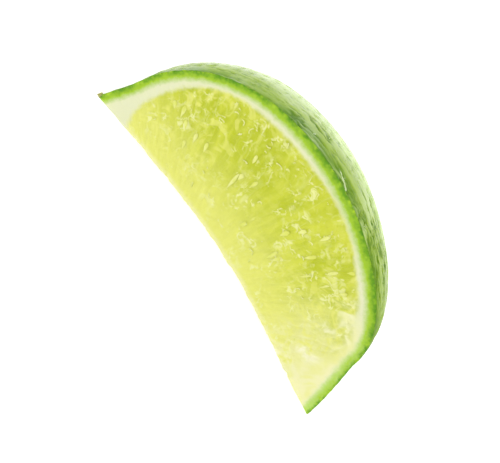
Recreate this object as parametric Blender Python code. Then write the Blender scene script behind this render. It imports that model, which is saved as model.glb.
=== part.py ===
"""A lime wedge: a sixth of a lime, cut lengthwise from its stem end to its nipple end.

The wedge lies on one of its two cut faces. +X runs along the lime's axis, from the stem
end to the nipple end. +Y runs across the resting face, from the core edge to the rind,
and +Z is up. The origin is on the resting face's plane, under the middle of the wedge.
"""

import math

import bmesh
import bpy
import numpy as np
from mathutils import Vector
from mathutils.geometry import interpolate_bezier

MM = 0.001

LENGTH = 60.0 * MM              # tip to tip along the lime's axis
RADIUS = 28.4 * MM              # from the axis to the skin at the widest place
WIDEST_AT = 28.8 * MM           # from the stem tip to the widest place
STEM_SHOULDER = 1.9 * MM        # from the stem tip to the shoulder round the stem
STEM_SHOULDER_RADIUS = 9.3 * MM
NIPPLE_LENGTH = 4.1 * MM        # from the shoulder round the nipple to its tip
NIPPLE_SHOULDER_RADIUS = 12.6 * MM

WEDGE_ANGLE = math.radians(60)  # between the two cut faces
CORE_TRIM = 3.3 * MM            # depth of the trimmed core edge at its middle
CORE_TRIM_AT = 30.4 * MM        # from the stem tip to the middle of the trimmed edge

CURVE_STEPS = 12                # sections along each stretch of the outline
ARC_STEPS = 20                  # facets of the rind between the two cut faces

# A knot of an outline in the plane of a cut face: place along the axis, distance from
# the axis, direction of the outline in degrees, and its handles' reach before and after.
RIND_OUTLINE = (
    (0.0, 0.0, 81, 0.0, 3.9 * MM),
    (STEM_SHOULDER, STEM_SHOULDER_RADIUS, 83, 5.8 * MM, 7.8 * MM),
    (WIDEST_AT, RADIUS, 0, 18.5 * MM, 8.0 * MM),
    (LENGTH - NIPPLE_LENGTH, NIPPLE_SHOULDER_RADIUS, -80, 11.0 * MM, 0.8 * MM),
    (LENGTH, 0.0, -76, 7.6 * MM, 0.0),
)
CORE_OUTLINE = (
    (0.0, 0.0, 8, 0.0, 10.7 * MM),
    (CORE_TRIM_AT, CORE_TRIM, 0, 10.1 * MM, 10.1 * MM),
    (LENGTH, 0.0, -5, 10.4 * MM, 0.0),
)

RIND_COLOUR = (0.16, 0.37, 0.03, 1.0)
RIND_ROUGHNESS = 0.38


def outline_points(knots, steps):
    """The points of a smooth curve through the knots, from the stem tip to the nipple tip."""
    points = []
    for start, end in zip(knots, knots[1:]):
        ends = []
        for (along, away, direction, before, after), side in ((start, 1), (end, -1)):
            place = Vector((along, away))
            reach = after if side > 0 else before
            slope = Vector((math.cos(math.radians(direction)), math.sin(math.radians(direction))))
            ends.append((place, place + side * reach * slope))
        (first, leaving), (last, arriving) = ends
        stretch = interpolate_bezier(first, leaving, arriving, last, steps + 1)
        points += stretch if end is knots[-1] else stretch[:-1]
    return points


def section(along, rind, core):
    """One cross-section's points: the core edge on the resting face, the rind's arc up to
    the other cut face, and the core edge on that face."""
    turns = [(0.0, core)]
    turns += [(WEDGE_ANGLE * step / ARC_STEPS, rind) for step in range(ARC_STEPS + 1)]
    turns += [(WEDGE_ANGLE, core)]
    return [
        Vector((along - LENGTH / 2, away * math.cos(turn) - RADIUS / 2, away * math.sin(turn)))
        for turn, away in turns
    ]


def build_wedge():
    """The closed solid: sections bridged from tip to tip, with a fan at each tip."""
    rind = outline_points(RIND_OUTLINE, CURVE_STEPS)
    core = outline_points(CORE_OUTLINE, CURVE_STEPS)
    core_along = [point.x for point in core]
    core_away = [point.y for point in core]

    mesh = bpy.data.meshes.new("lime_wedge")
    solid = bmesh.new()
    stem_tip, nipple_tip = (
        solid.verts.new((end, -RADIUS / 2, 0.0)) for end in (-LENGTH / 2, LENGTH / 2)
    )
    rings = []
    for point in rind[1:-1]:
        trimmed = float(np.interp(point.x, core_along, core_away))
        rings.append([solid.verts.new(place) for place in section(point.x, point.y, trimmed)])

    count = len(rings[0])
    for index in range(count):
        following = (index + 1) % count
        solid.faces.new((stem_tip, rings[0][index], rings[0][following]))
        solid.faces.new((nipple_tip, rings[-1][following], rings[-1][index]))
        for ring, after in zip(rings, rings[1:]):
            solid.faces.new((ring[index], after[index], after[following], ring[following]))
    bmesh.ops.recalc_face_normals(solid, faces=solid.faces)
    solid.to_mesh(mesh)
    solid.free()

    mesh.shade_smooth()
    mesh.set_sharp_from_angle(angle=math.radians(30))
    return bpy.data.objects.new("lime_wedge", mesh)


def rind_material():
    """Fresh green lime skin."""
    material = bpy.data.materials.new("lime_rind")
    material.use_nodes = True
    shader = material.node_tree.nodes["Principled BSDF"]
    shader.inputs["Base Color"].default_value = RIND_COLOUR
    shader.inputs["Roughness"].default_value = RIND_ROUGHNESS
    shader.inputs["Metallic"].default_value = 0.0
    return material


def main():
    for old in list(bpy.data.objects):
        bpy.data.objects.remove(old, do_unlink=True)
    wedge = build_wedge()
    wedge.data.materials.append(rind_material())
    bpy.context.scene.collection.objects.link(wedge)


main()
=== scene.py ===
import math

import bmesh
import bpy
import numpy as np
from bpy.props import FloatProperty, FloatVectorProperty, IntProperty, PointerProperty
from mathutils import Matrix, Vector, noise
from mathutils.geometry import delaunay_2d_cdt, interpolate_bezier
from mathutils.kdtree import KDTree


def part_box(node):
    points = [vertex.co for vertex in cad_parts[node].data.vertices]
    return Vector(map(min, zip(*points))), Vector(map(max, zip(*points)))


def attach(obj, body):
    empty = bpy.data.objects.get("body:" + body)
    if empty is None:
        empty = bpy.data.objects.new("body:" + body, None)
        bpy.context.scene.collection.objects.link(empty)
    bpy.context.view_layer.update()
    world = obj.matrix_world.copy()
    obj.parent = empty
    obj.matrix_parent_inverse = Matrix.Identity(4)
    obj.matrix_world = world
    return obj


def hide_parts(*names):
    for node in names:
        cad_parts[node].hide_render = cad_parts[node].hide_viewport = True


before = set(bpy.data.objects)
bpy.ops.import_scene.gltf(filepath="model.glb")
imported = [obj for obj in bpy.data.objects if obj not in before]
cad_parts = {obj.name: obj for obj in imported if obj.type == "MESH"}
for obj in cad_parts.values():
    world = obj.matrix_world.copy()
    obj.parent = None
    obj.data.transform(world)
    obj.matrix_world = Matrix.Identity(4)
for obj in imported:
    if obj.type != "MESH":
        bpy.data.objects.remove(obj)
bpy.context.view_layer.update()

bl_info = {
    "name": "Lime Wedge",
    "version": (1, 0, 0),
    "blender": (4, 5, 0),
    "location": "3D View > Sidebar > Lime",
    "description": "Builds a cut lime wedge with skin pores, pith and juice sacs",
    "category": "Add Mesh",
}

WEDGE_LOW, WEDGE_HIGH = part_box("lime_wedge")

# The wedge's own measures, from its box: it lies on one cut face, with the lime's axis
# along X at the box's low Y edge.
LENGTH = WEDGE_HIGH.x - WEDGE_LOW.x
RADIUS = WEDGE_HIGH.y - WEDGE_LOW.y
WEDGE_ANGLE = math.asin((WEDGE_HIGH.z - WEDGE_LOW.z) / RADIUS)
MM = LENGTH / 60.0              # the outlines below are drawn for a 60 mm lime

# Outlines in the plane of a cut face, in millimetres. A knot holds the place along the
# axis from the stem tip, the distance from the axis, the outline's direction in degrees,
# and its handles' reach before and after.
RIND_OUTLINE = (
    (0.0, 0.0, 81, 0.0, 3.9),
    (1.9, 9.3, 83, 5.8, 7.8),
    (28.8, 28.4, 0, 18.5, 8.0),
    (55.9, 12.6, -80, 11.0, 0.8),
    (60.0, 0.0, -76, 7.6, 0.0),
)
CORE_OUTLINE = (
    (0.0, 0.0, 8, 0.0, 10.7),
    (30.4, 3.3, 0, 10.1, 10.1),
    (60.0, 0.0, -5, 10.4, 0.0),
)
PULP_OUTLINE = (
    (7.4, -1.0, 110, 0.0, 2.2),
    (4.8, 6.4, 88, 3.0, 5.0),
    (9.0, 18.8, 50, 4.0, 6.0),
    (30.5, 25.8, 0, 9.0, 6.5),
    (45.0, 21.2, -30, 5.0, 4.5),
    (53.4, 10.0, -92, 5.0, 4.0),
    (50.8, -1.0, -112, 4.0, 0.0),
)
FLAVEDO_AT = (0.0, 12.0, 30.0, 50.0, 60.0)       # along the axis
FLAVEDO_THICKNESS = (1.3, 1.45, 1.75, 1.6, 1.15)  # of the green outer peel there
CORE_NICK = (52.4, 0.5, 0.35)   # a nick in the trimmed core edge: place, half width, depth
CORE_WANDER = 0.16              # how far the trimmed edge wanders from a clean cut
SLIVER_START = (28.4, 2.1)      # a sliver of skin lifted by the knife: its ends' places
SLIVER_END = (32.0, 0.4)        # along the axis and back from the upper cut
SLIVER_WIDTH = 0.30
FAN_CENTRE = (30.0, -16.0)      # the point the juice sacs fan out from
SAC_WIDTH = 0.048               # of one juice sac, as an angle seen from the fan's centre
SAC_LENGTH = 7.0
SURFACE_SHIFT = 7.3             # between the patterns of two cut surfaces, so that they differ
TORN_WIDTH = 0.06               # of a torn sac skin's stroke, as a part of its pattern's range
CURLS = ((170, 0.22), (95, 0.26), (60, 0.30))  # a curl's sweep in degrees, and its thickness

CREASE_STRETCH = 0.2            # creases run from tip to tip, and this draws them out
CREASE_RADIUS = 26.0            # of the cylinder that they are laid on, so they meet at the tips

SKIN_SPACING = 0.205            # between the points of the skin's mesh
FACE_SPACING = 0.235            # between the points of the upper cut face's mesh
REST_SPACING = 0.38             # between the points of the resting cut face's mesh
STRIP_SPACING = 0.32            # between the points of the trimmed core edge's mesh
SAME_PLACE = 1e-7               # points of a cut face closer than this are one
MEASURE_SPACING = 0.05          # between the points of a line that distances are measured to
LINE_STEPS = 400                # points along each stretch of an outline

SCAR_TURNS = 13                 # points of the stem scar's rings
SCAR_RINGS = 8
SCAR_CROWN = 0.30               # how far the scar's middle stands up
SCAR_ROUGHNESS = 0.10
SCAR_RIM = 0.05                 # half the scar's least thickness

REST, UPPER, STRIP = 0.0, 1.0, 2.0  # which surface a point of the flesh is on

FLOOR_HEIGHT = WEDGE_LOW.z - 0.05 * MM  # the cut pulp gives a little under its own weight

CAMERA_TURNS = (-11.22, 64.39, 67.08)  # azimuth, elevation and roll, in degrees
CAMERA_TARGET = (0.37, 6.67 - RADIUS / MM / 2, 5.31)
CAMERA_DISTANCE = 216.0
KEY_LIGHT = (0.07, (-0.22, -0.30, 0.34))  # a light's size and place, in metres
SIDE_LIGHT = (0.12, (0.10, 0.44, 0.27))
WHITE = (1.0, 1.0, 1.0, 1.0)
NODE_STEP, NODE_DROP, NODE_ROWS = 60, -160, 5  # how a tree's nodes are laid out in its editor


# ---------------------------------------------------------------- outlines and meshes


def heading(degrees):
    return Vector((math.cos(math.radians(degrees)), math.sin(math.radians(degrees))))


def outline_line(knots):
    """A dense line, in millimetres, along the smooth curve through an outline's knots."""
    points = []
    for (x, r, turn, _, after), (next_x, next_r, next_turn, before, _) in zip(knots, knots[1:]):
        start = Vector((x, r))
        end = Vector((next_x, next_r))
        leaving = start + after * heading(turn)
        arriving = end - before * heading(next_turn)
        points += interpolate_bezier(start, leaving, arriving, end, LINE_STEPS)[:-1]
    points.append(end)
    return np.array([(point[0], point[1]) for point in points])


def evenly_spaced(line, spacing):
    """The same line with its points evenly spaced along it."""
    run = distance_along(line)
    places = np.linspace(0.0, run[-1], max(2, round(run[-1] / spacing)) + 1)
    return np.column_stack([np.interp(places, run, line[:, axis]) for axis in (0, 1)])


def distance_along(line):
    """How far along the line each of its points is."""
    return np.concatenate(([0.0], np.cumsum(np.hypot(*np.diff(line, axis=0).T))))


def tree_of(places):
    """A tree that finds the nearest of the places."""
    tree = KDTree(len(places))
    for index, (x, r) in enumerate(places):
        tree.insert((x, r, 0.0), index)
    tree.balance()
    return tree


def distance_to_line(places, line, signed=False):
    """Each place's distance to the line. Signed, it is positive on the line's right-hand side."""
    fine = evenly_spaced(line, MEASURE_SPACING)
    tree = tree_of(fine)
    tangents = np.gradient(fine, axis=0)
    distances = np.empty(len(places))
    for index, (x, r) in enumerate(places):
        nearest, at, distance = tree.find((x, r, 0.0))
        if signed:
            side = tangents[at][1] * (x - nearest.x) - tangents[at][0] * (r - nearest.y)
            distance = math.copysign(distance, side)
        distances[index] = distance
    return distances


def trimmed(core):
    """The core edge as a knife leaves it: slightly wandering, with one nick."""
    place, half_width, depth = CORE_NICK
    for point in core[1:-1]:
        wander = noise.noise(Vector((point[0] * 0.55, 0.5, 0.5))) * CORE_WANDER
        nick = depth * math.exp(-((point[0] - place) / half_width) ** 2)
        point[1] += (wander + nick) * min(1.0, point[1])
    return core


def zipped(lower, upper):
    """Triangles between two rows of points that span the same width with different counts."""
    triangles = []
    low = high = 0
    while low < len(lower) - 1 or high < len(upper) - 1:
        next_low = (low + 1) / (len(lower) - 1) if low < len(lower) - 1 else math.inf
        next_high = (high + 1) / (len(upper) - 1) if high < len(upper) - 1 else math.inf
        if next_low <= next_high:
            triangles.append((lower[low], lower[low + 1], upper[high]))
            low += 1
        else:
            triangles.append((lower[low], upper[high + 1], upper[high]))
            high += 1
    return triangles


def filled_border(border, rind, core, spacing):
    """Points inside a cut face's border, and triangles that fill it evenly. The border's
    own points come first in the triangles' numbering."""
    tree = tree_of(border)
    row_height = spacing * math.sqrt(0.75)
    clearance = 0.7 * spacing
    inside = []
    for row, r in enumerate(np.arange(0.0, rind[:, 1].max(), row_height)):
        for x in np.arange(row % 2 * spacing / 2, rind[-1, 0], spacing):
            low = np.interp(x, core[:, 0], core[:, 1])
            high = np.interp(x, rind[:, 0], rind[:, 1])
            if low < r < high and tree.find((x, r, 0.0))[2] > clearance:
                inside.append((x, r))
    places = [Vector(place) for place in list(map(tuple, border)) + inside]
    edges = [(index, (index + 1) % len(border)) for index in range(len(border))]
    _, _, faces, origins, _, _ = delaunay_2d_cdt(places, edges, [], 1, SAME_PLACE)
    triangles = [tuple(origins[corner][0] for corner in face) for face in faces]
    return inside, triangles


class WedgeShape:
    """The wedge's closed surface before its relief: points as place along the axis,
    distance from the axis and turn round it, with the triangles between them."""

    def __init__(self):
        self.points = []        # (x, r, turn, which cut surface)
        self.triangles = []
        self.skin = []          # whether each triangle is skin

    def row(self, places):
        first = len(self.points)
        self.points += places
        return list(range(first, len(self.points)))

    def fill(self, triangles, skin):
        self.triangles += triangles
        self.skin += [skin] * len(triangles)

    def build(self):
        rind = evenly_spaced(outline_line(RIND_OUTLINE), SKIN_SPACING)
        core = trimmed(evenly_spaced(outline_line(CORE_OUTLINE), STRIP_SPACING))

        rows = [self.skin_row(x, r) for x, r in rind]
        for lower, upper in zip(rows, rows[1:]):
            self.fill(zipped(lower, upper), True)

        strips = [self.strip_row(x, r) for x, r in core[1:-1]]
        strips = [rows[0]] + strips + [rows[-1]]
        for lower, upper in zip(strips, strips[1:]):
            self.fill(zipped(lower, upper), False)

        border = np.concatenate([rind, core[-2:0:-1]])
        for turn, surface, side, spacing in (
            (0.0, REST, 0, REST_SPACING), (WEDGE_ANGLE, UPPER, -1, FACE_SPACING)
        ):
            inside, triangles = filled_border(border, rind, core, spacing)
            edge = [row[side] for row in rows] + [row[side] for row in strips[-2:0:-1]]
            edge += self.row([(x, r, turn, surface) for x, r in inside])
            self.fill([tuple(edge[corner] for corner in face) for face in triangles], False)
        return rind, core

    def skin_row(self, x, r):
        steps = round(r * WEDGE_ANGLE / SKIN_SPACING)
        if r > 0:
            steps = max(steps, 1)
        turns = [WEDGE_ANGLE * step / max(steps, 1) for step in range(steps + 1)]
        return self.row([(x, r, turn, UPPER if turn else REST) for turn in turns])

    def strip_row(self, x, r):
        """A straight row across the trimmed core edge."""
        steps = max(1, round(r / STRIP_SPACING))
        places = []
        for step in range(steps + 1):
            across = step / steps
            y = r * (1 - across + across * math.cos(WEDGE_ANGLE))
            z = r * across * math.sin(WEDGE_ANGLE)
            surface = STRIP if 0 < step < steps else (UPPER if step else REST)
            places.append((x, math.hypot(y, z), math.atan2(z, y), surface))
        return self.row(places)


def to_frame(x, r, turn):
    """Places given in millimetres round the lime's axis, as points of the part's frame."""
    return np.column_stack([
        WEDGE_LOW.x + x * MM,
        WEDGE_LOW.y + r * np.cos(turn) * MM,
        WEDGE_LOW.z + r * np.sin(turn) * MM,
    ])


def set_attribute(mesh, name, values, kind="FLOAT", domain="POINT"):
    layer = mesh.attributes.new(name, kind, domain)
    field = "vector" if kind == "FLOAT_VECTOR" else "value"
    layer.data.foreach_set(field, np.ascontiguousarray(values).ravel())


def fill_outward(mesh, solid):
    """Gives the mesh the solid's faces, all turned outward and shaded smooth."""
    bmesh.ops.recalc_face_normals(solid, faces=solid.faces)
    solid.to_mesh(mesh)
    solid.free()
    mesh.shade_smooth()
    return mesh


def wedge_mesh():
    """The wedge's plain mesh, which carries what its relief and its finishes need to know:
    how deep a point lies under the skin, how far inside the pulp, where in the fan, and
    where along the creases."""
    shape = WedgeShape()
    rind, core = shape.build()
    x, r, turn, surface = np.array(shape.points).T
    mesh = bpy.data.meshes.new("lime_body")
    mesh.from_pydata(to_frame(x, r, turn).tolist(), [], shape.triangles)

    flat = np.column_stack([x, r])
    depth = distance_to_line(flat, rind)
    pulp = distance_to_line(flat, outline_line(PULP_OUTLINE), signed=True)
    from_core = r - np.interp(x, core[:, 0], core[:, 1])
    along = x - FAN_CENTRE[0]
    away = r - FAN_CENTRE[1]
    fan_turn = np.arctan2(along, away)
    fan_reach = np.hypot(along, away)
    fan = np.column_stack([fan_turn / SAC_WIDTH, fan_reach / SAC_LENGTH, surface * SURFACE_SHIFT])
    pointing = np.column_stack([
        np.sin(fan_turn), np.cos(fan_turn) * np.cos(turn), np.cos(fan_turn) * np.sin(turn)
    ])
    run = np.interp(x, rind[:, 0], distance_along(rind)) * CREASE_STRETCH
    creases = np.column_stack([run, CREASE_RADIUS * np.cos(turn), CREASE_RADIUS * np.sin(turn)])
    set_attribute(mesh, "crease_place", creases * MM, "FLOAT_VECTOR")
    set_attribute(mesh, "peel_depth", depth / np.interp(x, FLAVEDO_AT, FLAVEDO_THICKNESS))
    set_attribute(mesh, "pulp_depth", pulp)
    set_attribute(mesh, "core_distance", from_core)
    set_attribute(mesh, "along", x / (LENGTH / MM))
    set_attribute(mesh, "edge_distance", r * np.minimum(turn, WEDGE_ANGLE - turn))
    set_attribute(mesh, "fan", fan, "FLOAT_VECTOR")
    set_attribute(mesh, "sac_direction", pointing, "FLOAT_VECTOR")
    set_attribute(mesh, "is_skin", np.array(shape.skin, bool), "BOOLEAN", "FACE")

    solid = bmesh.new()
    solid.from_mesh(mesh)
    return fill_outward(mesh, solid)


def scar_mesh(radius):
    """The stub that the stem left at its tip: a thin, rough slice of a round button, cut by
    the same two cuts as the wedge. Its inner side is sunk in the peel."""
    inset = 0.02
    turns = np.linspace(inset, WEDGE_ANGLE - inset, SCAR_TURNS)
    reaches = np.linspace(0.0, 1.0, SCAR_RINGS)[1:]
    solid = bmesh.new()
    sides = []
    for outward in (-1.0, 1.0):
        centre = solid.verts.new(scar_place(0.0, WEDGE_ANGLE / 2, radius, outward))
        rings = [
            [solid.verts.new(scar_place(reach, turn, radius, outward)) for turn in turns]
            for reach in reaches
        ]
        for index in range(len(turns) - 1):
            solid.faces.new((centre, rings[0][index], rings[0][index + 1]))
            for near, far in zip(rings, rings[1:]):
                solid.faces.new((near[index], far[index], far[index + 1], near[index + 1]))
        border = [centre] + [ring[0] for ring in rings] + rings[-1][1:-1]
        sides.append(border + [ring[-1] for ring in reversed(rings)])
    for index in range(len(sides[0])):
        after = (index + 1) % len(sides[0])
        solid.faces.new((sides[0][index], sides[0][after], sides[1][after], sides[1][index]))
    return fill_outward(bpy.data.meshes.new("stem_scar"), solid)


def scar_place(reach, turn, radius, outward):
    """A point of the scar's outer (-1) or sunk (1) side, in the part's frame."""
    r = reach * radius * (1.0 + 0.10 * math.sin(5.0 * turn))
    crown = SCAR_CROWN * math.cos(reach * math.pi / 2.4)
    rough = noise.noise(Vector((r * 2600.0, turn * 3.0, 0.5))) * SCAR_ROUGHNESS * reach
    x = (crown + rough + SCAR_RIM) * MM * outward
    return (
        WEDGE_LOW.x + x,
        WEDGE_LOW.y + r * math.cos(turn),
        WEDGE_LOW.z + r * math.sin(turn),
    )


# ---------------------------------------------------------------- node trees


class Nodes:
    """Adds nodes to a shader or geometry tree. An input's value may be a number, a colour
    or another node's output, which is linked."""

    def __init__(self, tree):
        self.tree = tree

    def connect(self, socket, value):
        if isinstance(value, bpy.types.NodeSocket):
            self.tree.links.new(value, socket)
        else:
            socket.default_value = value

    def add(self, kind, inputs=None, **settings):
        node = self.tree.nodes.new(kind)
        count = len(self.tree.nodes)
        node.location = (count * NODE_STEP, count % NODE_ROWS * NODE_DROP)
        for name, value in settings.items():
            setattr(node, name, value)
        for name, value in (inputs or {}).items():
            self.connect(node.inputs[name], value)
        return node

    def math(self, operation, *values, clamp=False):
        node = self.add("ShaderNodeMath", operation=operation, use_clamp=clamp)
        for socket, value in zip(node.inputs, values):
            self.connect(socket, value)
        return node.outputs[0]

    def times(self, product, *others):
        """The product of all the values."""
        for other in others:
            product = self.math("MULTIPLY", product, other)
        return product

    def swayed(self, value, pattern, amount):
        """The value moved up and down by a pattern that runs from 0 to 1."""
        return self.math("MULTIPLY_ADD", self.math("SUBTRACT", pattern, 0.5), amount, value)

    def off_half(self, value):
        """How far a value is from a half."""
        return self.math("ABSOLUTE", self.math("SUBTRACT", value, 0.5))

    def vector(self, operation, *values):
        node = self.add("ShaderNodeVectorMath", operation=operation)
        sockets = (node.inputs[0], node.inputs["Scale"]) if operation == "SCALE" else node.inputs
        for socket, value in zip(sockets, values):
            self.connect(socket, value)
        return node.outputs["Value" if operation in ("DOT_PRODUCT", "LENGTH") else "Vector"]

    def axes(self, place):
        """A place's coordinates, by the names X, Y and Z."""
        return self.add("ShaderNodeSeparateXYZ", {"Vector": place}).outputs

    def point(self, x, y, z):
        return self.add("ShaderNodeCombineXYZ", {"X": x, "Y": y, "Z": z}).outputs[0]

    def stretched(self, place, factors):
        """The place stretched by three factors, for a pattern that is longer one way."""
        return self.vector("MULTIPLY", place, factors)

    def scaled(self, value, low, high, to_low=0.0, to_high=1.0, smooth=True):
        """The value carried from one range to another, and held at its ends."""
        node = self.add(
            "ShaderNodeMapRange",
            {"Value": value, "From Min": low, "From Max": high, "To Min": to_low, "To Max": to_high},
            interpolation_type="SMOOTHSTEP" if smooth else "LINEAR",
        )
        return node.outputs[0]

    def noise(self, place, scale, detail=3.0, roughness=0.5, distortion=0.0):
        node = self.add("ShaderNodeTexNoise", {
            "Vector": place, "Scale": scale, "Detail": detail, "Roughness": roughness,
            "Distortion": distortion,
        })
        return node.outputs[0]

    def cells(self, place, scale, feature="F1"):
        """How far a place is from the middle of its cell, or from the cell's wall."""
        node = self.add("ShaderNodeTexVoronoi", {"Vector": place, "Scale": scale}, feature=feature)
        return node.outputs["Distance"]

    def blend(self, factor, first, second):
        """One colour blended with another."""
        node = self.add("ShaderNodeMix", data_type="RGBA")
        for index, value in ((0, factor), (6, first), (7, second)):
            self.connect(node.inputs[index], value)
        return node.outputs[2]

    def layers(self, colour, *coats):
        """A colour under coats of other colours. Each coat is how much it covers, and its colour."""
        for cover, coat in coats:
            colour = self.blend(cover, colour, coat)
        return colour

    def ramp(self, value, stops):
        """A colour read along a row of (place, colour) stops."""
        node = self.add("ShaderNodeValToRGB", {"Fac": value})
        row = node.color_ramp.elements
        while len(row) < len(stops):
            row.new(1.0)
        for element, (place, stop_colour) in zip(row, stops):
            element.position = place
            element.color = stop_colour
        return node.outputs[0]


class SurfaceNodes(Nodes):
    """A material's nodes, with its Principled shader."""

    def __init__(self, name, roughness):
        material = bpy.data.materials.new(name)
        material.use_nodes = True
        super().__init__(material.node_tree)
        self.material = material
        self.shader = material.node_tree.nodes["Principled BSDF"]
        self.shader.inputs["Roughness"].default_value = roughness
        self.place = self.add("ShaderNodeTexCoord").outputs["Object"]

    def attribute(self, name, output="Fac"):
        return self.add("ShaderNodeAttribute", attribute_name=name).outputs[output]

    def shaken(self, value, scale, amount):
        """A place or another vector, moved about by a pattern of the given scale."""
        pattern = self.add("ShaderNodeTexNoise", {"Vector": self.place, "Scale": scale, "Detail": 2.0})
        moves = self.vector("SUBTRACT", pattern.outputs["Color"], (0.5, 0.5, 0.5))
        return self.vector("ADD", value, self.vector("SCALE", moves, amount))

    def finish(self, colour, roughness=None, height=None, bump=0.0, **constants):
        self.connect(self.shader.inputs["Base Color"], colour)
        if roughness is not None:
            self.connect(self.shader.inputs["Roughness"], roughness)
        if height is not None:
            node = self.add("ShaderNodeBump", {"Height": height, "Distance": bump})
            self.connect(self.shader.inputs["Normal"], node.outputs[0])
        for name, value in constants.items():
            self.shader.inputs[name.replace("_", " ")].default_value = value
        return self.material

    def mottled(self, grain, dark, light, spread, roughness, bump, **constants):
        """A finish whose colour, roughness and fine relief all follow one grain."""
        colour = self.blend(self.scaled(grain, *spread), dark, light)
        return self.finish(colour, self.scaled(grain, 0.3, 0.7, *roughness), grain, bump, **constants)


class ShapeNodes(Nodes):
    """A geometry tree with named inputs, which changes the object that it is put on."""

    def __init__(self, name, sizes):
        tree = bpy.data.node_groups.new(name, "GeometryNodeTree")
        tree.is_modifier = True
        super().__init__(tree)
        for side in ("INPUT", "OUTPUT"):
            tree.interface.new_socket("Geometry", in_out=side, socket_type="NodeSocketGeometry")
        self.identifiers = {}
        for label, value in sizes.items():
            kind = "NodeSocketInt" if isinstance(value, int) else "NodeSocketFloat"
            socket = tree.interface.new_socket(label, in_out="INPUT", socket_type=kind)
            socket.default_value = value
            self.identifiers[label] = socket.identifier
        self.sizes = sizes
        self.start = self.add("NodeGroupInput").outputs
        self.place = self.add("GeometryNodeInputPosition").outputs[0]

    def attribute(self, name, kind="FLOAT"):
        node = self.add("GeometryNodeInputNamedAttribute", {"Name": name}, data_type=kind)
        return node.outputs["Attribute"]

    def random(self, low, high, seed):
        """Three random numbers for each element, between those of two vectors."""
        node = self.add("FunctionNodeRandomValue", data_type="FLOAT_VECTOR")
        self.connect(node.inputs[0], low)
        self.connect(node.inputs[1], high)
        self.connect(node.inputs["Seed"], seed)
        return node.outputs[0]

    def spun(self, turn, spin):
        """The turn with another turn added, about its own axes."""
        inputs = {"Rotation": turn, "Rotate By": spin}
        return self.add("FunctionNodeRotateRotation", inputs, rotation_space="LOCAL").outputs[0]

    def moved(self, geometry, **inputs):
        """The geometry with its points at a new Position, or moved by an Offset."""
        return self.add("GeometryNodeSetPosition", {"Geometry": geometry, **inputs}).outputs[0]

    def smooth(self, geometry):
        return self.add("GeometryNodeSetShadeSmooth", {"Geometry": geometry}).outputs[0]

    def resting_solid(self, geometry):
        """One plain mesh, with nothing of it below the plane that the wedge rests on."""
        solid = self.add("GeometryNodeRealizeInstances", {"Geometry": geometry}).outputs[0]
        axes = self.axes(self.place)
        height = self.math("MAXIMUM", axes["Z"], FLOOR_HEIGHT)
        return self.moved(solid, Position=self.point(axes["X"], axes["Y"], height))

    def painted(self, geometry, material, **selection):
        inputs = {"Geometry": geometry, "Material": material, **selection}
        return self.add("GeometryNodeSetMaterial", inputs).outputs[0]

    def end(self, geometry):
        """Makes the geometry the tree's output, and gives the finished tree."""
        self.add("NodeGroupOutput", {"Geometry": geometry})
        return self

    def apply(self, obj):
        """Puts the tree on the object, and gives the mesh that comes out of it."""
        modifier = obj.modifiers.new(self.tree.name, "NODES")
        modifier.node_group = self.tree
        for label, value in self.sizes.items():
            modifier[self.identifiers[label]] = value
        graph = bpy.context.evaluated_depsgraph_get()
        mesh = bpy.data.meshes.new_from_object(
            obj.evaluated_get(graph), preserve_all_data_layers=True, depsgraph=graph
        )
        obj.modifiers.remove(modifier)
        for index in reversed(range(len(mesh.materials))):
            if mesh.materials[index] is None:
                mesh.materials.pop(index=index)
        if not mesh.polygons:
            raise RuntimeError(f"{self.tree.name} made nothing on {obj.name}")
        return mesh


# ---------------------------------------------------------------- finishes


def torn_skins(nodes, pulp):
    """Where torn juice-sac skins lie on the pulp, from 0 to 1: short curved strokes in
    drifts, thickest along the rind and towards the nipple end."""
    bends = nodes.noise(nodes.place, 470.0, 2.0, 0.55, 0.8)
    stroke = nodes.scaled(nodes.off_half(bends), TORN_WIDTH * 0.15, TORN_WIDTH, 1.0, 0.0)
    breaks = nodes.noise(nodes.place, 640.0, 2.0, 0.6)
    breaks = nodes.swayed(breaks, nodes.noise(nodes.place, 240.0, 1.0), 0.6)
    rim = nodes.scaled(pulp, 2.0, 9.0, 0.045, 0.015)
    far_end = nodes.scaled(nodes.attribute("along"), 0.5, 0.75, -0.01, 0.025)
    breaks = nodes.math("ADD", nodes.math("ADD", breaks, rim), far_end)
    return nodes.times(stroke, nodes.scaled(breaks, 0.54, 0.64), nodes.scaled(pulp, 0.3, 0.8))


def crease_pattern(nodes, place):
    """The pattern that the skin's creases follow, and how near a place is to the bottom of
    a crease, from 0 to 1."""
    pattern = nodes.noise(place, 540.0, 3.0, 0.6, 0.5)
    return pattern, nodes.scaled(nodes.off_half(pattern), 0.0, 0.05, 1.0, 0.0)


def skin_place(x, back):
    """A point on the skin, at a place along the axis and some way back from the upper cut."""
    rind = outline_line(RIND_OUTLINE)
    r = np.interp(x, rind[:, 0], rind[:, 1])
    return Vector(to_frame(x, r, WEDGE_ANGLE - back / r)[0])


def near_stroke(nodes, start, end, width):
    """How near a place is to an uneven stroke between two points, from 0 to 1."""
    run = end - start
    reach = nodes.vector("SUBTRACT", nodes.shaken(nodes.place, 900.0, width * 3.0), tuple(start))
    share = nodes.vector("DOT_PRODUCT", reach, tuple(run))
    share = nodes.math("DIVIDE", share, run.length_squared, clamp=True)
    nearest = nodes.vector("SCALE", tuple(run), share)
    off = nodes.vector("LENGTH", nodes.vector("SUBTRACT", reach, nearest))
    return nodes.scaled(off, width * 0.4, width, 1.0, 0.0)


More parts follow.
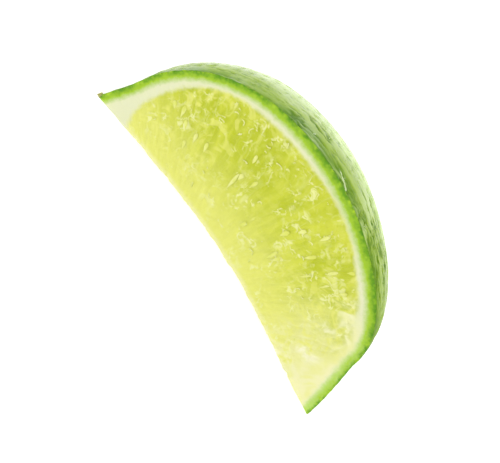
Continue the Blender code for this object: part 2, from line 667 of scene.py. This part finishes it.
def skin_material(settings):
    """Waxy lime skin: dark green beside the cut, and lighter away from it and higher up with a painted
    sheen, with oil glands, creases darkened with painted shade, ridges lightened with painted
    highlight and a pale sliver that the knife lifted."""
    nodes = SurfaceNodes("lime_skin", 0.4)
    place = nodes.place
    along = nodes.attribute("along")
    mottle = nodes.noise(place, 110.0, 3.0, 0.55)
    from_cut = nodes.swayed(nodes.attribute("edge_distance"), mottle, 9.0)
    # Higher up on the lime, the painted sheen and the painted crease shade and ridge highlight grow
    # stronger.
    up = nodes.scaled(nodes.axes(place)["Z"], 5.0 * MM, 18.0 * MM, 0.3, 1.0)
    glands = nodes.cells(place, 1 / settings.pore_spacing)
    grain = nodes.noise(nodes.stretched(place, (0.3, 1.0, 1.0)), 1500.0, 3.0)

    pattern, crease = crease_pattern(nodes, nodes.attribute("crease_place", "Vector"))
    patches = nodes.math("MULTIPLY_ADD", along, 0.4, nodes.noise(place, 75.0, 2.0))
    patches = nodes.times(
        nodes.scaled(patches, 0.54, 0.78, 0.15, 1.0), nodes.scaled(along, 0.76, 0.88, 1.0, 0.2), up
    )
    # Painted highlight on the ridges between the creases.
    ridge_highlight = nodes.times(nodes.scaled(pattern, 0.54, 0.64, 0.0, 0.6), patches)
    crease = nodes.times(crease, patches)
    ends = skin_place(*SLIVER_START), skin_place(*SLIVER_END)
    colour = nodes.layers(
        settings.skin_dark,
        (nodes.scaled(from_cut, -1.0, 3.5), settings.skin_colour),
        # Painted sheen: the skin is lighter away from the cut and higher up.
        (nodes.times(nodes.scaled(from_cut, 4.0, 12.0), up), settings.skin_sheen),
        (nodes.scaled(glands, 0.10, 0.42, 0.30, 0.0), settings.gland_colour),
        (nodes.scaled(grain, 0.5, 0.72, 0.0, 0.65), settings.skin_dark),
        (nodes.scaled(along, 0.93, 1.0, 0.0, 0.6), settings.nipple_colour),
        (ridge_highlight, settings.ridge_highlight_colour),
        # Painted shade darkens the creases.
        (nodes.times(crease, 0.85), settings.crease_shade_colour),
        (near_stroke(nodes, *ends, SLIVER_WIDTH * MM), settings.sliver_colour),
    )

    rubbed = nodes.scaled(nodes.noise(place, 85.0, 2.0), 0.42, 0.62, 0.25, 0.75)
    wax = nodes.times(
        nodes.math("MAXIMUM", nodes.scaled(from_cut, 0.5, 6.5, 0.25, 1.0), rubbed),
        nodes.scaled(along, 0.3, 0.75, 1.0, 0.6),
        nodes.scaled(crease, 0.0, 1.0, 1.0, 0.3, smooth=False),
    )
    nodes.connect(nodes.shader.inputs["Coat Weight"], wax)
    return nodes.finish(
        colour, nodes.scaled(grain, 0.3, 0.7, 0.34, 0.48), grain, 0.0002,
        Coat_Roughness=0.16, Coat_IOR=1.9, Specular_IOR_Level=0.0,
    )


def peel_colours(nodes, settings, ragged, along, cloud):
    """The cut peel from its green edge to the cream pith, with oil glands in the green. It
    pales towards the nipple."""
    peel = nodes.attribute("peel_depth")
    depth = nodes.times(nodes.swayed(peel, ragged, 0.7), 0.5)
    colour = nodes.ramp(depth, (
        (0.00, settings.peel_edge),
        (0.16, settings.peel_green),
        (0.36, settings.peel_inner),
        (0.70, settings.pith_colour),
    ))
    nipple_pith = nodes.times(
        nodes.scaled(along, 0.80, 0.90), nodes.scaled(depth, 0.35, 0.95, 0.0, 0.9)
    )
    cream = nodes.blend(
        nodes.scaled(cloud, 0.40, 0.60, 0.55, 0.0), settings.pulp_cream, settings.pulp_pale
    )
    fading = nodes.times(
        nodes.scaled(along, 0.84, 0.96, 0.0, 0.8),
        nodes.scaled(depth, 0.06, 0.30),
        nodes.scaled(depth, 0.34, 0.85, 1.0, 0.0),
    )
    gland = nodes.scaled(nodes.cells(nodes.place, 1200.0), 0.10, 0.5, 0.40, 0.0)
    patch = nodes.scaled(nodes.noise(nodes.place, 420.0, 3.0, 0.6), 0.42, 0.68, 0.0, 0.7)
    gland = nodes.math("ADD", gland, patch, clamp=True)
    gland = nodes.times(gland, nodes.scaled(peel, 0.5, 1.1, 1.0, 0.0))
    return nodes.layers(
        colour, (nipple_pith, cream), (fading, settings.peel_fading), (gland, settings.peel_inner)
    )


def pulp_colours(nodes, settings, pulp, along, cloud):
    """The wet pulp: streaks along the fan, paler towards the core as a painted glow of light through
    the thin core edge, and paler towards the nipple, with sac walls, torn sac skins painted as pale as
    wet glints, and milky patches."""
    place = nodes.place
    core = nodes.attribute("core_distance")
    bent = nodes.shaken(nodes.attribute("fan", "Vector"), 160.0, 1.6)
    streaks = nodes.noise(nodes.stretched(bent, (0.9, 0.8, 1.0)), 1.0, 4.0, 0.55, 0.4)
    broad = nodes.noise(nodes.stretched(bent, (0.33, 0.3, 1.0)), 1.0, 2.0, 0.5, 0.5)
    streaks = nodes.swayed(streaks, broad, 0.7)
    wall = nodes.times(
        nodes.scaled(nodes.cells(bent, 1.0, "DISTANCE_TO_EDGE"), 0.0, 0.10, 0.3, 0.0),
        nodes.scaled(nodes.noise(place, 260.0, 2.0), 0.42, 0.62),
    )
    near_nipple = nodes.times(
        nodes.scaled(along, 0.66, 0.88),
        nodes.scaled(core, 5.0, 17.0, 0.9, 0.15),
        nodes.scaled(cloud, 0.35, 0.60, 0.6, 1.0),
    )
    swirl = nodes.times(
        nodes.scaled(nodes.noise(place, 330.0, 2.0, 0.5, 1.6), 0.48, 0.64, 0.0, 0.8),
        nodes.scaled(nodes.off_half(along), 0.05, 0.35, 0.25, 1.0),
    )
    strength = nodes.scaled(nodes.noise(place, 330.0, 1.0), 0.38, 0.60, 0.25, 0.9)
    # Torn sac skins and curls, painted as pale as the wet glints on the pulp: partly sac skin, partly
    # painted highlight.
    curls = nodes.times(
        nodes.scaled(nodes.noise(place, 480.0, 2.0, 0.55, 1.4), 0.54, 0.68),
        nodes.scaled(nodes.noise(place, 210.0, 1.0), 0.46, 0.60),
        nodes.scaled(pulp, 0.5, 1.2),
        0.5,
    )
    torn = nodes.math("MAXIMUM", nodes.times(torn_skins(nodes, pulp), strength), curls)
    milk = nodes.times(
        nodes.scaled(nodes.noise(place, 290.0, 2.0, 0.6, 0.7), 0.46, 0.70, 0.0, 0.9),
        nodes.scaled(along, 0.72, 0.84),
    )
    return nodes.layers(
        settings.pulp_deep,
        (nodes.scaled(streaks, 0.32, 0.68), settings.pulp_colour),
        (wall, settings.sac_wall),
        # Painted glow: the pulp is paler towards the thin core edge and palest along it, as light
        # shining through the thin edge.
        (nodes.scaled(core, 0.0, 15.0, 0.95, 0.0), settings.pulp_pale),
        (nodes.scaled(core, 0.0, 1.3, 0.8, 0.0), settings.pulp_cream),
        (near_nipple, settings.pulp_cream),
        (swirl, settings.pulp_pale),
        (torn, settings.torn_skin_glint_colour),
        (milk, settings.milk_colour),
    )


def flesh_material(settings):
    """The cut lime: peel, pith and pulp, which run into each other."""
    nodes = SurfaceNodes("lime_flesh", 0.25)
    pulp = nodes.attribute("pulp_depth")
    along = nodes.attribute("along")
    ragged = nodes.noise(nodes.place, 1100.0, 3.0, 0.6)
    cloud = nodes.noise(nodes.place, 230.0, 2.0, 0.55, 0.8)
    softness = nodes.scaled(along, 0.75, 0.92, 0.6, 1.8)
    in_pulp = nodes.scaled(nodes.swayed(pulp, ragged, 0.9), nodes.times(softness, -0.8), softness)
    colour = nodes.blend(
        in_pulp,
        peel_colours(nodes, settings, ragged, along, cloud),
        pulp_colours(nodes, settings, pulp, along, cloud),
    )
    roughness = nodes.scaled(in_pulp, 0.0, 1.0, 0.42, 0.2)
    roughness = nodes.math("MULTIPLY_ADD", nodes.noise(nodes.place, 700.0, 3.0), 0.16, roughness)
    fine = nodes.stretched(nodes.attribute("fan", "Vector"), (3.0, 2.0, 1.0))
    return nodes.finish(
        colour, roughness, nodes.noise(fine, 2.0, 4.0, 0.6), 0.0001,
        Coat_Weight=0.15, Coat_Roughness=0.12, Specular_IOR_Level=0.2,
        Subsurface_Weight=0.45, Subsurface_Radius=(1.0, 1.0, 0.6), Subsurface_Scale=0.0016,
    )


def sac_material(settings):
    """A whole juice sac: wet and slightly mottled."""
    nodes = SurfaceNodes("juice_sac", 0.16)
    return nodes.mottled(
        nodes.noise(nodes.place, 520.0, 3.0), settings.sac_deep, settings.sac_colour,
        (0.35, 0.65), (0.1, 0.24), 0.00003,
        Coat_Weight=0.2, Coat_Roughness=0.1, Specular_IOR_Level=0.25,
    )


def burst_material(settings):
    """The skin of a burst juice sac, with juice on it, painted pale as a wet glint."""
    nodes = SurfaceNodes("burst_sac", 0.14)
    return nodes.mottled(
        nodes.noise(nodes.place, 900.0, 2.0), settings.burst_glint_colour, settings.burst_glint_pale,
        (0.3, 0.7), (0.08, 0.22), 0.00002,
        Coat_Weight=0.3, Coat_Roughness=0.1, Specular_IOR_Level=0.25,
    )


def scar_material(settings):
    """The dry, corky trace of the stem."""
    nodes = SurfaceNodes("stem_scar", 0.8)
    return nodes.mottled(
        nodes.noise(nodes.place, 2600.0, 4.0, 0.7), settings.scar_dark, settings.scar_colour,
        (0.3, 0.7), (0.7, 0.92), 0.0001,
    )


# ---------------------------------------------------------------- geometry trees


def relief_tree(settings, skin, flesh):
    """Pores, creases and lumps in the skin, and pith fibres and hollows between juice sacs
    in the cut faces, with torn sac skins that stand up from the pulp."""
    nodes = ShapeNodes("Lime surface relief", {
        "Pore Spacing": settings.pore_spacing,
        "Pore Depth": settings.pore_depth,
        "Crease Depth": settings.crease_depth,
        "Lump Height": settings.lump_height,
        "Sac Relief": settings.sac_relief,
        "Torn Height": settings.torn_height,
        "Pith Depth": settings.pith_depth,
    })
    size = nodes.start
    place = nodes.place
    along = nodes.attribute("along")
    depth = nodes.attribute("peel_depth")
    on_skin = nodes.scaled(depth, 0.0, 0.02, 1.0, 0.0, smooth=False)

    pores = nodes.cells(place, nodes.math("DIVIDE", 1.0, size["Pore Spacing"]))
    pore = nodes.times(nodes.scaled(pores, 0.08, 0.45, 1.0, 0.0), size["Pore Depth"])
    _, crease = crease_pattern(nodes, nodes.attribute("crease_place", "FLOAT_VECTOR"))
    patches = nodes.math("MULTIPLY_ADD", along, 0.3, nodes.noise(place, 75.0, 2.0))
    crease = nodes.times(
        crease, nodes.scaled(patches, 0.52, 0.74, 0.45, 1.3),
        nodes.scaled(along, 0.76, 0.9, 1.0, 0.3), size["Crease Depth"],
    )
    lumps = nodes.noise(nodes.stretched(place, (0.6, 1.0, 1.0)), 210.0, 2.0)
    lump = nodes.times(nodes.math("SUBTRACT", lumps, 0.6), size["Lump Height"])
    skin_height = nodes.math("SUBTRACT", lump, nodes.math("ADD", pore, crease))

    pulp = nodes.attribute("pulp_depth")
    fan = nodes.attribute("fan", "FLOAT_VECTOR")
    walls = nodes.cells(fan, 1.0, "DISTANCE_TO_EDGE")
    valley = nodes.times(nodes.scaled(walls, 0.0, 0.24, 1.0, 0.0), 0.5)
    hollows = nodes.noise(nodes.stretched(fan, (1.6, 2.4, 1.0)), 1.0, 4.0, 0.6)
    sacs = nodes.math("MULTIPLY_ADD", nodes.scaled(hollows, 0.35, 0.75), 0.8, valley)
    sacs = nodes.times(sacs, size["Sac Relief"], nodes.scaled(pulp, -0.25, 0.5))
    fibres = nodes.noise(place, 1300.0, 3.0, 0.6)
    pith = nodes.times(fibres, size["Pith Depth"], nodes.scaled(depth, 0.25, 1.1))
    torn = nodes.times(torn_skins(nodes, pulp), size["Torn Height"])
    flesh_height = nodes.math("SUBTRACT", torn, nodes.math("ADD", sacs, pith))

    height = nodes.math(
        "ADD", nodes.times(skin_height, on_skin),
        nodes.times(flesh_height, nodes.math("SUBTRACT", 1.0, on_skin)),
    )
    normal = nodes.add("GeometryNodeInputNormal").outputs[0]
    moved = nodes.moved(size["Geometry"], Offset=nodes.vector("SCALE", normal, height))
    finished = nodes.painted(nodes.resting_solid(moved), flesh)
    is_skin = nodes.attribute("is_skin", "BOOLEAN")
    return nodes.end(nodes.painted(finished, skin, Selection=is_skin))


def pulp_points(nodes, density, seed, margin, core_margin):
    """Points scattered over the pulp of the cut faces and the core edge, with the turn
    that lies along the surface and points away from the fan's centre."""
    from_pith = nodes.math("SUBTRACT", nodes.attribute("pulp_depth"), margin)
    from_core = nodes.math("SUBTRACT", nodes.attribute("core_distance"), core_margin)
    inside = nodes.math("GREATER_THAN", nodes.math("MINIMUM", from_pith, from_core), 0.0)
    scatter = nodes.add("GeometryNodeDistributePointsOnFaces", {
        "Mesh": nodes.start["Geometry"], "Selection": inside, "Density": density, "Seed": seed,
    }, distribute_method="RANDOM")
    turn = nodes.add("FunctionNodeAxesToRotation", {
        "Primary Axis": scatter.outputs["Normal"],
        "Secondary Axis": nodes.attribute("sac_direction", "FLOAT_VECTOR"),
    }, primary_axis="Z", secondary_axis="X")
    return scatter.outputs["Points"], turn.outputs[0]


def sac_shape(nodes):
    """One juice sac of unit size: a drop, pointed at the end near the core."""
    ball = nodes.add("GeometryNodeMeshUVSphere", {"Segments": 12, "Rings": 8, "Radius": 0.5})
    axes = nodes.axes(nodes.place)
    taper = nodes.scaled(axes["X"], -0.5, 0.35, 0.25, 1.0)
    drop = nodes.point(axes["X"], nodes.times(axes["Y"], taper), nodes.times(axes["Z"], taper))
    return nodes.smooth(nodes.moved(ball.outputs["Mesh"], Position=drop))


def sac_tree(settings, material):
    """Whole juice sacs, half sunk in the pulp and fanned out as they grew."""
    nodes = ShapeNodes("Juice sacs", {
        "Sac Length": settings.sac_length,
        "Sac Width": settings.sac_width,
        "Sac Thickness": settings.sac_thickness,
        "Density": settings.sac_density,
        "Seed": settings.seed,
    })
    size = nodes.start
    points, turn = pulp_points(nodes, size["Density"], size["Seed"], 1.0, 6.0)
    spread = nodes.random((0.45, 0.6, 0.7), (1.25, 1.25, 1.2), size["Seed"])
    lengths = nodes.point(size["Sac Length"], size["Sac Width"], size["Sac Thickness"])
    wobble = nodes.random((0.0, -0.01, -0.16), (0.0, 0.02, 0.16), nodes.math("ADD", size["Seed"], 5))
    placed = nodes.add("GeometryNodeInstanceOnPoints", {
        "Points": points, "Instance": sac_shape(nodes), "Rotation": nodes.spun(turn, wobble),
        "Scale": nodes.vector("MULTIPLY", lengths, spread),
    })
    sunk = nodes.add("GeometryNodeTranslateInstances", {
        "Instances": placed.outputs[0], "Translation": (0.0, 0.0, -settings.sac_thickness * 0.24),
    })
    return nodes.end(nodes.painted(nodes.resting_solid(sunk.outputs[0]), material))


def curl_shape(nodes, sweep, thickness):
    """A curl of torn sac skin: a short closed tube along an arc of unit radius."""
    arc = nodes.add("GeometryNodeCurveArc", {
        "Resolution": 7, "Radius": 1.0, "Sweep Angle": math.radians(sweep),
    })
    ring = nodes.add("GeometryNodeCurvePrimitiveCircle", {"Resolution": 5, "Radius": thickness})
    tube = nodes.add("GeometryNodeCurveToMesh", {
        "Curve": arc.outputs["Curve"], "Profile Curve": ring.outputs["Curve"], "Fill Caps": True,
    })
    return nodes.smooth(tube.outputs[0])


def burst_tree(settings, material):
    """Burst juice sacs: small curls of torn skin, in drifts."""
    nodes = ShapeNodes("Burst sacs", {
        "Bit Size": settings.burst_size,
        "Density": settings.burst_density,
        "Seed": settings.seed + 40,
    })
    size = nodes.start
    density = nodes.times(
        nodes.scaled(nodes.noise(nodes.place, 150.0, 2.0), 0.46, 0.68, 0.12, 1.6),
        nodes.scaled(nodes.attribute("pulp_depth"), 1.0, 7.0, 1.3, 0.9),
        size["Density"],
        nodes.scaled(nodes.attribute("along"), 0.76, 0.84, 1.0, 0.0),
    )
    points, turn = pulp_points(nodes, density, size["Seed"], 0.4, 3.0)
    shapes = nodes.add("GeometryNodeGeometryToInstance")
    for sweep, thickness in CURLS:
        nodes.connect(shapes.inputs[0], curl_shape(nodes, sweep, thickness))
    spin = nodes.random((-0.25, -0.25, -3.1), (0.25, 0.25, 3.1), size["Seed"])
    spread = nodes.random((0.5, 0.4, 0.3), (1.5, 1.1, 0.6), nodes.math("ADD", size["Seed"], 3))
    placed = nodes.add("GeometryNodeInstanceOnPoints", {
        "Points": points, "Instance": shapes.outputs[0], "Pick Instance": True,
        "Rotation": nodes.spun(turn, spin), "Scale": nodes.vector("SCALE", spread, size["Bit Size"]),
    })
    return nodes.end(nodes.painted(nodes.resting_solid(placed.outputs[0]), material))


# ---------------------------------------------------------------- settings


def amount(label, text, default, **unit):
    return FloatProperty(name=label, description=text, default=default, **unit)


def length(label, text, default):
    return amount(label, text, default, unit="LENGTH", precision=5)


def colour(label, text, default):
    return FloatVectorProperty(
        name=label, description=text, default=default + (1.0,), size=4, subtype="COLOR",
        min=0.0, max=1.0,
    )


class LimeBodySettings(bpy.types.PropertyGroup):
    pore_spacing: length("Pore spacing", "Distance between the skin's pores", 0.00095)
    pore_depth: length("Pore depth", "How deep the skin's pores are", 0.00008)
    crease_depth: length("Crease depth", "How deep the skin's fine creases are", 0.00024)
    lump_height: length("Lump height", "How uneven the skin is", 0.0005)
    sac_relief: length("Sac relief", "How deep the pulp is between its juice sacs", 0.00016)
    torn_height: length("Torn skin height", "How far torn juice-sac skin stands up", 0.00012)
    pith_depth: length("Pith depth", "How deep the pith's fibres are", 0.00006)
    # A painted sheen: the pale skin far from the cut and high on the lime.
    skin_sheen: colour("Light skin", "The skin far from the cut", (0.58, 0.80, 0.19))
    skin_colour: colour("Skin", "The skin's main green", (0.31, 0.46, 0.025))
    skin_dark: colour("Dark skin", "The skin beside the cut and in its creases", (0.11, 0.25, 0.002))
    # A painted highlight on the ridges between creases.
    ridge_highlight_colour: colour("Ridge", "The skin on the ridges between creases", (0.54, 0.69, 0.20))
    # Painted shade in the skin's creases.
    crease_shade_colour: colour("Crease", "The skin in its creases", (0.06, 0.17, 0.002))
    sliver_colour: colour("Sliver", "The sliver of skin lifted by the knife", (0.58, 0.70, 0.34))
    gland_colour: colour("Oil gland", "An oil gland seen through the skin", (0.19, 0.36, 0.02))
    nipple_colour: colour("Nipple", "The skin at the nipple end", (0.20, 0.26, 0.02))
    peel_edge: colour("Peel's edge", "The cut peel next to the skin", (0.085, 0.25, 0.003))
    peel_green: colour("Green peel", "The cut green peel", (0.16, 0.365, 0.0))
    peel_inner: colour("Inner peel", "The cut peel next to the pith", (0.378, 0.586, 0.0189))
    peel_fading: colour("Fading peel", "The cut peel by the nipple", (0.50, 0.70, 0.16))
    pith_colour: colour("Pith", "The pith", (0.762, 0.78, 0.517))
    pulp_deep: colour("Deep pulp", "The pulp's deeper streaks", (0.508, 0.571, 0.0181))
    pulp_colour: colour("Pulp", "The pulp's main colour", (0.626, 0.671, 0.0499))
    # Also a painted glow: the pulp made paler towards the thin core edge.
    pulp_pale: colour("Pale pulp", "The pulp near the core edge", (0.78, 0.789, 0.181))
    # Also the palest painted glow along the core edge.
    pulp_cream: colour("Cream pulp", "The pulp near the nipple end", (0.852, 0.834, 0.453))
    sac_wall: colour("Sac wall", "The thin wall between two juice sacs", (0.726, 0.78, 0.227))
    # Torn sac skin, painted as pale as a wet glint.
    torn_skin_glint_colour: colour("Torn skin", "The torn skin of a juice sac", (0.816, 0.834, 0.345))
    milk_colour: colour("Milky pulp", "The milky patches by the nipple end", (0.90, 0.885, 0.60))


class JuiceSacSettings(bpy.types.PropertyGroup):
    sac_length: length("Length", "Length of a whole juice sac", 0.0026)
    sac_width: length("Width", "Width of a whole juice sac", 0.0008)
    sac_thickness: length("Thickness", "Thickness of a whole juice sac", 0.0002)
    sac_density: amount("Sacs per square metre", "How many whole sacs show", 60000.0)
    burst_size: length("Burst sac size", "Size of the bits of a burst sac", 0.00055)
    burst_density: amount("Bits per square metre", "How many bits of burst sacs show", 90000.0)
    seed: IntProperty(name="Seed", description="Draws another scatter of sacs", default=3)
    sac_deep: colour("Deep sac", "The deeper colour in a juice sac", (0.68, 0.72, 0.11))
    sac_colour: colour("Sac", "A juice sac's main colour", (0.78, 0.80, 0.26))
    # Burst sac skin, painted pale as wet glints on the pulp.
    burst_glint_colour: colour("Burst sac", "Torn sac skin", (0.726, 0.762, 0.181))
    burst_glint_pale: colour("Pale burst sac", "The palest torn sac skin", (0.816, 0.834, 0.345))


class StemScarSettings(bpy.types.PropertyGroup):
    scar_radius: length("Radius", "Radius of the stem's scar", 0.0008)
    scar_colour: colour("Cork", "The scar's light cork", (0.62, 0.62, 0.22))
    scar_dark: colour("Dark cork", "The scar's dark cork", (0.36, 0.36, 0.09))


class StageSettings(bpy.types.PropertyGroup):
    floor_size: length("Floor size", "Width of the floor", 6.0)
    floor_colour: colour("Floor", "The floor's colour", (0.92, 0.92, 0.91))
    floor_glow: amount("Floor glow", "Strength of the floor's own soft glow", 0.45)
    sky_strength: amount("Sky", "Strength of the soft sky", 0.93)
    key_power: amount("Key light", "Power of the key light", 0.2, unit="POWER")
    side_power: amount("Side light", "Power of the soft side light", 0.35, unit="POWER")
    lens: amount("Lens", "The camera's focal length in mm", 100.0, subtype="DISTANCE_CAMERA")


# ---------------------------------------------------------------- operators


def add_object(name, mesh):
    """A finished piece: its object sits at the origin and its place is in its mesh."""
    obj = bpy.data.objects.new(name, mesh)
    bpy.context.scene.collection.objects.link(obj)
    return obj


def body_piece():
    body = bpy.data.objects.get("lime_body")
    if body is None:
        raise RuntimeError("Build the lime's body first")
    return body


class LIME_OT_build_body(bpy.types.Operator):
    """Builds the wedge's body: skin, peel, pith and pulp in one closed surface"""

    bl_idname = "lime.build_body"
    bl_label = "Build Body"

    def execute(self, context):
        settings = context.scene.lime_body
        plain = add_object("lime_body", wedge_mesh())
        tree = relief_tree(settings, skin_material(settings), flesh_material(settings))
        mesh = tree.apply(plain)
        smooth = plain.data
        plain.data = mesh
        bpy.data.meshes.remove(smooth)
        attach(plain, "root")
        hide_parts("lime_wedge")
        return {"FINISHED"}


class LIME_OT_grow_juice_sacs(bpy.types.Operator):
    """Grows whole juice sacs along the fan of the pulp"""

    bl_idname = "lime.grow_juice_sacs"
    bl_label = "Grow Juice Sacs"

    def execute(self, context):
        settings = context.scene.lime_sacs
        tree = sac_tree(settings, sac_material(settings))
        sacs = add_object("juice_sacs", tree.apply(body_piece()))
        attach(sacs, "root")
        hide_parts("lime_wedge")
        return {"FINISHED"}


class LIME_OT_scatter_burst_sacs(bpy.types.Operator):
    """Scatters the curled skins of burst juice sacs over the pulp"""

    bl_idname = "lime.scatter_burst_sacs"
    bl_label = "Scatter Burst Sacs"

    def execute(self, context):
        settings = context.scene.lime_sacs
        tree = burst_tree(settings, burst_material(settings))
        bits = add_object("burst_sacs", tree.apply(body_piece()))
        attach(bits, "root")
        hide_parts("lime_wedge")
        return {"FINISHED"}


class LIME_OT_add_stem_scar(bpy.types.Operator):
    """Adds the corky stub that the stem left at its tip"""

    bl_idname = "lime.add_stem_scar"
    bl_label = "Add Stem Scar"

    def execute(self, context):
        settings = context.scene.lime_scar
        mesh = scar_mesh(settings.scar_radius)
        mesh.materials.append(scar_material(settings))
        scar = add_object("stem_scar", mesh)
        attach(scar, "root")
        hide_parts("lime_wedge")
        return {"FINISHED"}


class LIME_OT_set_stage(bpy.types.Operator):
    """Sets the pale floor, the soft studio lights and the camera"""

    bl_idname = "lime.set_stage"
    bl_label = "Set Stage"

    def execute(self, context):
        settings = context.scene.lime_stage
        context.scene.view_settings.view_transform = "Standard"
        self.lay_floor(settings)
        self.light(context, settings)
        self.aim_camera(context, settings)
        return {"FINISHED"}

    def lay_floor(self, settings):
        half = settings.floor_size / 2
        mesh = bpy.data.meshes.new("floor")
        corners = [(-half, -half), (half, -half), (half, half), (-half, half)]
        mesh.from_pydata([(x, y, FLOOR_HEIGHT) for x, y in corners], [], [(0, 1, 2, 3)])
        nodes = SurfaceNodes("pale_floor", 0.6)
        mesh.materials.append(nodes.finish(
            settings.floor_colour, Emission_Color=WHITE, Emission_Strength=settings.floor_glow
        ))
        add_object("floor", mesh)

    def light(self, context, settings):
        world = bpy.data.worlds.new("soft_sky")
        world.use_nodes = True
        sky = world.node_tree.nodes["Background"].inputs
        sky["Color"].default_value = WHITE
        sky["Strength"].default_value = settings.sky_strength
        context.scene.world = world
        self.softbox("key_light", settings.key_power, *KEY_LIGHT)
        self.softbox("side_light", settings.side_power, *SIDE_LIGHT)

    def softbox(self, name, power, size, place):
        lamp = bpy.data.lights.new(name, "AREA")
        lamp.energy = power
        lamp.size = size
        obj = add_object(name, lamp)
        obj.location = place
        obj.rotation_euler = (-Vector(place)).to_track_quat("-Z", "Y").to_euler()

    def aim_camera(self, context, settings):
        """Looks down on the upper cut face, with the lime's axis steep across the view."""
        azimuth, elevation, roll = (math.radians(turn) for turn in CAMERA_TURNS)
        back = Vector((
            math.sin(azimuth) * math.cos(elevation),
            -math.cos(azimuth) * math.cos(elevation),
            math.sin(elevation),
        ))
        level = Vector((math.cos(azimuth), math.sin(azimuth), 0.0))
        upright = back.cross(level)
        right = level * math.cos(roll) + upright * math.sin(roll)
        up = upright * math.cos(roll) - level * math.sin(roll)
        place = (Vector(CAMERA_TARGET) + back * CAMERA_DISTANCE) * MM
        camera = bpy.data.objects.new("camera", bpy.data.cameras.new("camera"))
        context.scene.collection.objects.link(camera)
        axes = Matrix((right, up, back)).transposed()
        camera.matrix_world = Matrix.Translation(place) @ axes.to_4x4()
        camera.data.lens = settings.lens
        camera.data.clip_start = 0.01
        context.scene.camera = camera


class LIME_PT_builder(bpy.types.Panel):
    """Lists the lime's settings and the steps that build it"""

    bl_idname = "LIME_PT_builder"
    bl_label = "Lime Wedge"
    bl_space_type = "VIEW_3D"
    bl_region_type = "UI"
    bl_category = "Lime"

    def draw(self, context):
        for group, _, operators in STEPS:
            box = self.layout.box()
            settings = getattr(context.scene, group)
            for name in settings.__annotations__:
                box.prop(settings, name)
            for operator in operators:
                box.operator(operator.bl_idname)


STEPS = (
    ("lime_body", LimeBodySettings, (LIME_OT_build_body,)),
    ("lime_sacs", JuiceSacSettings, (LIME_OT_grow_juice_sacs, LIME_OT_scatter_burst_sacs)),
    ("lime_scar", StemScarSettings, (LIME_OT_add_stem_scar,)),
    ("lime_stage", StageSettings, (LIME_OT_set_stage,)),
)
CLASSES = (
    *(settings for _, settings, _ in STEPS),
    *(operator for _, _, operators in STEPS for operator in operators),
    LIME_PT_builder,
)


def register():
    for kind in CLASSES:
        bpy.utils.register_class(kind)
    for name, settings, _ in STEPS:
        setattr(bpy.types.Scene, name, PointerProperty(type=settings))


def unregister():
    for name, _, _ in STEPS:
        delattr(bpy.types.Scene, name)
    for kind in reversed(CLASSES):
        bpy.utils.unregister_class(kind)


def main():
    register()
    bpy.ops.lime.set_stage()
    bpy.ops.lime.build_body()
    bpy.ops.lime.grow_juice_sacs()
    bpy.ops.lime.scatter_burst_sacs()
    bpy.ops.lime.add_stem_scar()


if __name__ == "__main__":
    main()
